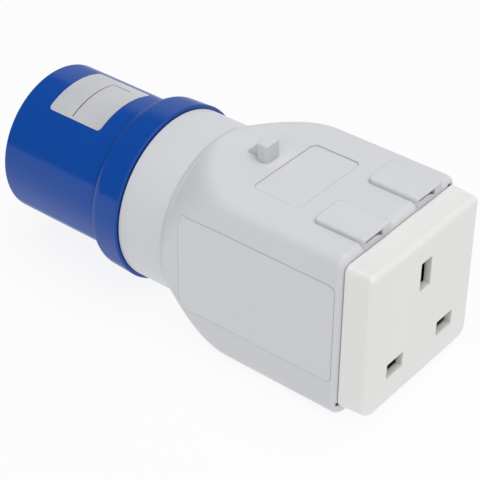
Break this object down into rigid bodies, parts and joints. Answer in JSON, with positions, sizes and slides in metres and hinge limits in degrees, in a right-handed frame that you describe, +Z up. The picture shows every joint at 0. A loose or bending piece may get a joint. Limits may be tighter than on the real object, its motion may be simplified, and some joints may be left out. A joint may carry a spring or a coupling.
{
  "type": "socket adapter",
  "caption": "Round industrial plug with hollow shroud and three pins, grey neck-to-square housing, and a white shuttered outlet block with three rectangular pin slots.",
  "frame": {"origin": "on the underside of the housing's box, midway along the whole length and across the plug's axis", "axes": "+X along the plug's axis towards the outlet's face, +Z up through the retention lug and the earth slot, +Y across"},
  "size_m": [0.1264, 0.0512, 0.0557],
  "materials": {
    "blue_plastic": "satin moulded nylon",
    "grey_plastic": "satin moulded plastic",
    "white_plastic": "smooth moulded plastic",
    "dark_plastic": "matt moulded insulating plastic",
    "shutter_plastic": "matt moulded plastic",
    "nickel": "nickel plated brass",
    "brass": "stamped and bright",
    "steel": "zinc plated",
    "rubber": "matt",
    "copper": "bare stranded copper",
    "brown_sleeve": "soft lead insulation",
    "blue_sleeve": "soft lead insulation",
    "green_yellow_sleeve": "soft lead insulation"
  },
  "bodies": {
    "adapter_body": {"plug_shroud": "blue_plastic", "pin_carrier": "dark_plastic", "line_pin": "nickel", "neutral_pin": "nickel", "earth_pin": "nickel", "plug_terminal_screws": "steel", "body_screws": "steel", "seal_ring": "rubber", "housing": "grey_plastic", "outlet_cover": "white_plastic", "outlet_base": "dark_plastic", "line_contact": "brass", "neutral_contact": "brass", "earth_contact": "brass", "outlet_terminal_screws": "steel", "contact_plate": "dark_plastic", "outlet_screws": "steel", "shutter_spring": "steel", "line_wire": "brown_sleeve", "neutral_wire": "blue_sleeve", "earth_wire": "green_yellow_sleeve", "line_core": "copper", "neutral_core": "copper", "earth_core": "copper"},
    "shutter": {"shutter": "shutter_plastic"}
  },
  "joints": [
    {"name": "shutter_slide", "type": "slide", "parent": "adapter_body", "child": "shutter", "axis": [0, 0, -1], "range_m": [0, 0.0055], "stiffness_N_per_m": 60, "springref_m": -0.004, "deforming": ["shutter_spring"]}
  ]
}
